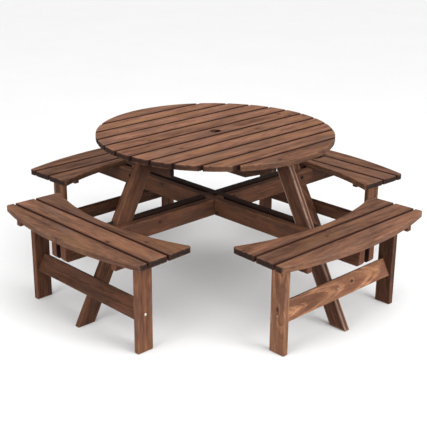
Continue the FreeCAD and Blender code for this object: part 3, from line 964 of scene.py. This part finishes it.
def lathe(bm, fastener, profile, socket, segments):
    """Turns a profile of (radius, distance below the top of the head) about a fastener's axis.
    The first rings, up to the socket's rim, are drawn as a hexagon."""
    turn = fastener.axis.to_track_quat("Z", "Y").to_matrix()
    loops = []
    for radius, below in profile:
        loop = []
        for step in range(segments):
            angle = 2 * math.pi * step / segments
            reach = radius
            if 0 < radius <= socket:
                reach = radius * math.cos(math.pi / 6) / math.cos(angle % (math.pi / 3) - math.pi / 6)
            place = Vector((reach * math.cos(angle), reach * math.sin(angle), -below))
            loop.append(bm.verts.new(fastener.top + turn @ place))
        loops.append(loop)
    join_loops(bm, loops[::-1])
    bm.faces.new(loops[0])
    bm.faces.new(list(reversed(loops[-1])))


def threaded(radius, start, end, ridges):
    """A shank of shallow ridges that narrows to a point."""
    profile = []
    for ridge in range(ridges):
        place = start + (end - start) * 0.9 * ridge / ridges
        step = (end - start) * 0.9 / ridges
        profile += [(radius * 0.78, place), (radius, place + step / 2)]
    return profile + [(radius * 0.75, end - (end - start) * 0.1), (radius * 0.1, end)]


def screw_profile(screw, shank, domed):
    radius = screw.radius * 0.97
    socket = radius * 0.42
    crown = 0.0004 if domed else 0.0
    head = [(socket * 0.5, SCREW_HEAD * 0.65), (socket, SCREW_HEAD * 0.6), (socket, crown * 0.4),
            (radius * 0.72, crown * 0.6), (radius * 0.92, crown + SCREW_HEAD * 0.22),
            (radius, SCREW_HEAD * 0.55), (radius, SCREW_HEAD * 0.9), (radius * 0.96, SCREW_HEAD)]
    return head + threaded(shank, SCREW_HEAD, screw.length, 7), socket


def bolt_profile(bolt):
    radius = bolt.radius * 0.98
    socket = radius * 0.45
    length = bolt.length
    head = [(socket * 0.5, BOLT_HEAD * 0.7), (socket, BOLT_HEAD * 0.68), (socket, 0.0003),
            (radius * 0.8, 0.0003), (radius * 0.95, BOLT_HEAD * 0.2), (radius, BOLT_HEAD * 0.5),
            (radius, BOLT_HEAD * 0.97), (BOLT_SHANK, BOLT_HEAD), (BOLT_SHANK, BOLT_HEAD + 0.02)]
    nut = [(BOLT_SHANK, length - NUT), (radius, length - NUT * 0.98), (radius, length - NUT * 0.1),
           (radius * 0.9, length - 0.0001), (BOLT_SHANK, length - 0.0001),
           (BOLT_SHANK * 0.5, length - 0.0002)]
    return head + nut, socket


def dowel_profile(dowel):
    """A chamfered rod with shallow grooves round it, and no socket."""
    radius = dowel.radius * 0.97
    length = dowel.length
    chamfer = radius * 0.3
    profile = [(radius - chamfer, 0.0001), (radius, chamfer)]
    grooves = 8
    for groove in range(1, grooves):
        place = length * groove / grooves
        profile += [(radius, place - 0.001), (radius * 0.94, place), (radius, place + 0.001)]
    return profile + [(radius, length - chamfer), (radius - chamfer, length - 0.0001)], 0.0


def slat_screw(screw):
    return screw_profile(screw, SHANK, domed=False)


def bench_screw(screw):
    long = screw.length > LONG_SCREW
    return screw_profile(screw, LONG_SHANK if long else SHANK, domed=long)


def frame_bolt(bolt):
    return dowel_profile(bolt) if bolt.radius < THINNEST_BOLT else bolt_profile(bolt)


BENCH_METALS = [ZINC, BROWNED, TARNISHED]
# Screws this far out towards -X are on the front left bench, and towards -Y on the front right one.
FAR_OUT = 0.5


def bench_screw_metal(screw):
    """Which of BENCH_METALS a screw is: the front right bench has tarnished heads, and the one in the
    middle of the front left rail was stained with the wood."""
    is_slanted = abs(screw.axis.z) > 0.1
    if is_slanted and screw.top.x < -FAR_OUT:
        return 1
    return 2 if screw.top.y < -FAR_OUT else 0


def make_fasteners(node, profile_of, segments, metals, metal_of=None):
    """One piece for a group of fasteners, each turned where its CAD solid lies.
    metal_of tells which of the metals a fastener is made of, if there are several."""
    bm = bmesh.new()
    for fastener in map(Fastener, islands(node)):
        built = len(bm.faces)
        lathe(bm, fastener, *profile_of(fastener), segments)
        bm.faces.ensure_lookup_table()
        for face in bm.faces[built:]:
            face.material_index = metal_of(fastener) if metal_of else 0
    bmesh.ops.recalc_face_normals(bm, faces=bm.faces)
    piece = smooth_piece(node + "_turned", bm, node)
    piece.data.set_sharp_from_angle(angle=math.radians(SHARP_TURN))
    for metal in metals:
        piece.data.materials.append(metal)


def drill(pieces):
    """Counterbores for the slat screws and recesses for the frame bolts, wherever they meet a piece."""
    holes = []
    for screw in map(Fastener, islands("slat_screws")):
        holes.append((screw.top - UP * BORE_BELOW, screw.top + UP * BORE_ABOVE, COUNTERBORE))
    for bolt in map(Fastener, islands("frame_bolts")):
        if bolt.radius > THINNEST_BOLT:
            for end, outwards, high in ((bolt.top, bolt.axis, BOLT_HEAD), (bolt.tip, -bolt.axis, NUT)):
                seat = end - outwards * high
                holes.append((seat, seat + outwards * RECESS_DEPTH, BOLT_RECESS))
    for piece in pieces:
        places = [vert.co for vert in piece.data.vertices]
        low, high = ([extreme(values) for values in zip(*places)] for extreme in (min, max))
        inside = [hole for hole in holes if meets(hole, low, high)]
        if inside:
            cut_with(piece, inside)


def meets(hole, low, high):
    """Whether the box about a hole's axis reaches at least a millimetre into a piece's box."""
    start, end, _ = hole
    return all(max(start[axis], end[axis]) >= low[axis] + MILLIMETRE and
               min(start[axis], end[axis]) <= high[axis] - MILLIMETRE for axis in range(3))


# -------- the whole table

def make_table():
    rng = random.Random(SEED)
    make_top(rng)
    drilled = [make_bearer(node, rng) for node in ("bearer_left", "bearer_right")]
    drilled += [make_beam(axis, end, rng) for axis in "xy" for end in ENDS]
    for side in SIDES:
        make_seat(side, rng)
        make_diagonal_leg(side, rng)
        make_rail(side, rng)
        drilled += make_head_blocks(side, rng)
        for end in ENDS:
            make_upright("bench_leg_%s_%s" % (side, end), side, rng, 2, 0, 1)
            drilled.append(make_upright("seat_batten_%s_%s" % (side, end), side, rng, 0, 2, 1))
    drill(drilled)
    make_fasteners("slat_screws", slat_screw, 12, [ZINC])
    make_fasteners("bench_screws", bench_screw, 24, BENCH_METALS, bench_screw_metal)
    make_fasteners("frame_bolts", frame_bolt, 24, [DARK_STEEL])


# -------- stage, light and camera

FLOOR_SIZE = 30
# The floor lies just under the feet.
FLOOR_HEIGHT = -0.0005
FLOOR_GREYS = ((0.62, 0.62, 0.62, 1), (0.65, 0.65, 0.65, 1))
WORLD_STRENGTH = 0.50
SUN_STRENGTH, SUN_WIDTH, SUN_TURN = 3.0, 80, (12, -8, 0)
# Place and power of the area lights, what they look at, and how wide they are.
KEY = ((0.4, -5.0, 2.2), 260)
FILL = ((-5.2, -0.6, 1.8), 180)
LIT_PLACE = Vector((0, 0, 0.4))
LIGHT_SIZE = 3.0
# The camera stands off the front corner, looking slightly down, with the roll of a hand-held picture.
CAMERA_PLACE = (-2.9538, -3.0298, 1.8705)
CAMERA_YAW, CAMERA_PITCH, CAMERA_ROLL = 45.803, 20.146, 0.482
CAMERA_LENS, CAMERA_SENSOR = 79.207, 36


def make_floor():
    shader = Shader("pale_floor")
    place = shader.node("TexCoord").outputs["Object"]
    colour = shader.mix(shader.noise(place, 1.5, 2.0, 0.5), *FLOOR_GREYS)
    bm = bmesh.new()
    bmesh.ops.create_grid(bm, x_segments=4, y_segments=4, size=FLOOR_SIZE)
    floor = object_of("floor", bm)
    floor.data.materials.append(shader.surface({"Base Color": colour, "Roughness": 0.9}))
    floor.location.z = FLOOR_HEIGHT


def area_light(name, place, power):
    data = bpy.data.lights.new(name, "AREA")
    data.shape = "DISK"
    data.size = LIGHT_SIZE
    data.energy = power
    light = new_object(name, data)
    light.location = place
    light.rotation_euler = (LIT_PLACE - Vector(place)).to_track_quat("-Z", "Y").to_euler()


def make_light():
    world = bpy.data.worlds.new("studio")
    bpy.context.scene.world = world
    world.use_nodes = True
    background = world.node_tree.nodes["Background"]
    background.inputs["Color"].default_value = (1, 1, 1, 1)
    background.inputs["Strength"].default_value = WORLD_STRENGTH
    sun = bpy.data.lights.new("overhead", "SUN")
    sun.energy = SUN_STRENGTH
    sun.angle = math.radians(SUN_WIDTH)
    new_object("overhead", sun).rotation_euler = [math.radians(turn) for turn in SUN_TURN]
    area_light("key", *KEY)
    area_light("fill", *FILL)


def make_camera():
    yaw, pitch, roll = (math.radians(turn) for turn in (CAMERA_YAW, CAMERA_PITCH, CAMERA_ROLL))
    forward = Vector((math.cos(yaw) * math.cos(pitch), math.sin(yaw) * math.cos(pitch), -math.sin(pitch)))
    right = Vector((math.sin(yaw), -math.cos(yaw), 0))
    up = right.cross(forward)
    rolled_right = right * math.cos(roll) + up * math.sin(roll)
    rolled_up = up * math.cos(roll) - right * math.sin(roll)
    data = bpy.data.cameras.new("camera")
    data.sensor_width = CAMERA_SENSOR
    data.lens = CAMERA_LENS
    camera = new_object("camera", data)
    turn = Matrix((rolled_right, rolled_up, -forward)).transposed().to_4x4()
    camera.matrix_world = Matrix.Translation(CAMERA_PLACE) @ turn
    bpy.context.scene.camera = camera


make_camera()
make_light()
make_floor()
make_table()
bpy.context.scene.view_settings.view_transform = "Standard"
